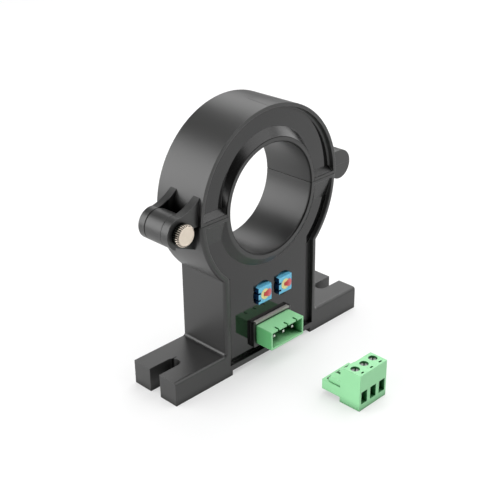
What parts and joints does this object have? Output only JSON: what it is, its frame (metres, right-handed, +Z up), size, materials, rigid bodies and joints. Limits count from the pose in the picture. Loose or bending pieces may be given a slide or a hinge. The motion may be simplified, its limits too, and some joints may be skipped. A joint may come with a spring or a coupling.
{
  "type": "split-core current transducer",
  "caption": "Split-core current transducer: hinged ring aperture on slotted feet, knurled lock screw, plug-in terminal and two trimmers.",
  "frame": {"origin": "centre of the two mounting slots, on the mounting plane", "axes": "+X along the feet towards the hinge, +Y through the aperture to the back, +Z up"},
  "size_m": [0.102, 0.0732, 0.1025],
  "materials": {
    "grey_housing": "fine satin moulded finish",
    "potting_resin": "glossy cast resin",
    "core_steel": "cut and ground",
    "sensor_black": "moulded",
    "ribbon_grey": "smooth",
    "board_green": "solder mask",
    "terminal_green": "semi-gloss moulded",
    "tinned_pin": "bright tin",
    "trimmer_blue": "moulded",
    "rotor_yellow": "moulded",
    "chip_black": "moulded",
    "capacitor_can": "drawn can",
    "resistor_body": "glazed",
    "pin_steel": "ground",
    "brass": "machined",
    "nickel_plate": "nickel plate, knurled",
    "washer_nylon": "moulded",
    "plug_green": "semi-gloss moulded",
    "zinc_steel": "zinc plate"
  },
  "bodies": {
    "transducer": {"lower_housing": "grey_housing", "lower_resin": "potting_resin", "lower_core": "core_steel", "field_sensor_left": "sensor_black", "field_sensor_right": "sensor_black", "sensor_ribbon_left": "ribbon_grey", "sensor_ribbon_right": "ribbon_grey", "circuit_board": "board_green", "terminal_header": "terminal_green", "header_pins": "tinned_pin", "zero_trimmer": "trimmer_blue", "zero_trimmer_legs": "tinned_pin", "span_trimmer": "trimmer_blue", "span_trimmer_legs": "tinned_pin", "amplifier_chip": "chip_black", "capacitors": "capacitor_can", "resistors": "resistor_body", "hinge_pin": "pin_steel", "lock_insert": "brass", "plug_housing": "plug_green", "plug_contacts": "tinned_pin"},
    "upper_half": {"upper_housing": "grey_housing", "upper_core": "core_steel", "upper_resin": "potting_resin"},
    "lock_washer": {"lock_washer": "washer_nylon"},
    "lock_screw": {"lock_screw": "nickel_plate"},
    "zero_rotor": {"zero_trimmer_rotor": "rotor_yellow"},
    "span_rotor": {"span_trimmer_rotor": "rotor_yellow"},
    "plug_screw_1": {"plug_screw_1": "zinc_steel"},
    "plug_cage_1": {"plug_cage_1": "zinc_steel"},
    "plug_screw_2": {"plug_screw_2": "zinc_steel"},
    "plug_cage_2": {"plug_cage_2": "zinc_steel"},
    "plug_screw_3": {"plug_screw_3": "zinc_steel"},
    "plug_cage_3": {"plug_cage_3": "zinc_steel"}
  },
  "joints": [
    {"name": "upper_half_hinge", "type": "hinge", "parent": "transducer", "child": "upper_half", "pos_m": [0.044, 0, 0.0665], "axis": [0, 1, 0], "range_deg": [0, 110]},
    {"name": "lock_turn", "type": "hinge", "parent": "transducer", "child": "lock_washer", "pos_m": [-0.044, 0, 0.0665], "axis": [0, -1, 0], "range_deg": [0, 3344]},
    {"name": "lock_travel", "type": "slide", "parent": "lock_washer", "child": "lock_screw", "axis": [0, -1, 0], "range_m": [0, 0.0065]},
    {"name": "zero_turn", "type": "hinge", "parent": "transducer", "child": "zero_rotor", "pos_m": [-0.0038, 0, 0.028], "axis": [0, -1, 0], "range_deg": [-130, 130]},
    {"name": "span_turn", "type": "hinge", "parent": "transducer", "child": "span_rotor", "pos_m": [0.0076, 0, 0.028], "axis": [0, -1, 0], "range_deg": [-130, 130]},
    {"name": "clamp_turn_1", "type": "hinge", "parent": "transducer", "child": "plug_screw_1", "pos_m": [-0.00508, -0.057, 0], "axis": [0, 0, 1], "range_deg": [-1441, 0]},
    {"name": "clamp_rise_1", "type": "slide", "parent": "transducer", "child": "plug_cage_1", "axis": [0, 0, 1], "range_m": [0, 0.002]},
    {"name": "clamp_turn_2", "type": "hinge", "parent": "transducer", "child": "plug_screw_2", "pos_m": [0, -0.057, 0], "axis": [0, 0, 1], "range_deg": [-1441, 0]},
    {"name": "clamp_rise_2", "type": "slide", "parent": "transducer", "child": "plug_cage_2", "axis": [0, 0, 1], "range_m": [0, 0.002]},
    {"name": "clamp_turn_3", "type": "hinge", "parent": "transducer", "child": "plug_screw_3", "pos_m": [0.00508, -0.057, 0], "axis": [0, 0, 1], "range_deg": [-1441, 0]},
    {"name": "clamp_rise_3", "type": "slide", "parent": "transducer", "child": "plug_cage_3", "axis": [0, 0, 1], "range_m": [0, 0.002]}
  ],
  "couplings": [
    {"joint": "lock_turn", "follows": "lock_travel", "rad_per_m": 8976},
    {"joint": "clamp_turn_1", "follows": "clamp_rise_1", "rad_per_m": -12566},
    {"joint": "clamp_turn_2", "follows": "clamp_rise_2", "rad_per_m": -12566},
    {"joint": "clamp_turn_3", "follows": "clamp_rise_3", "rad_per_m": -12566}
  ]
}
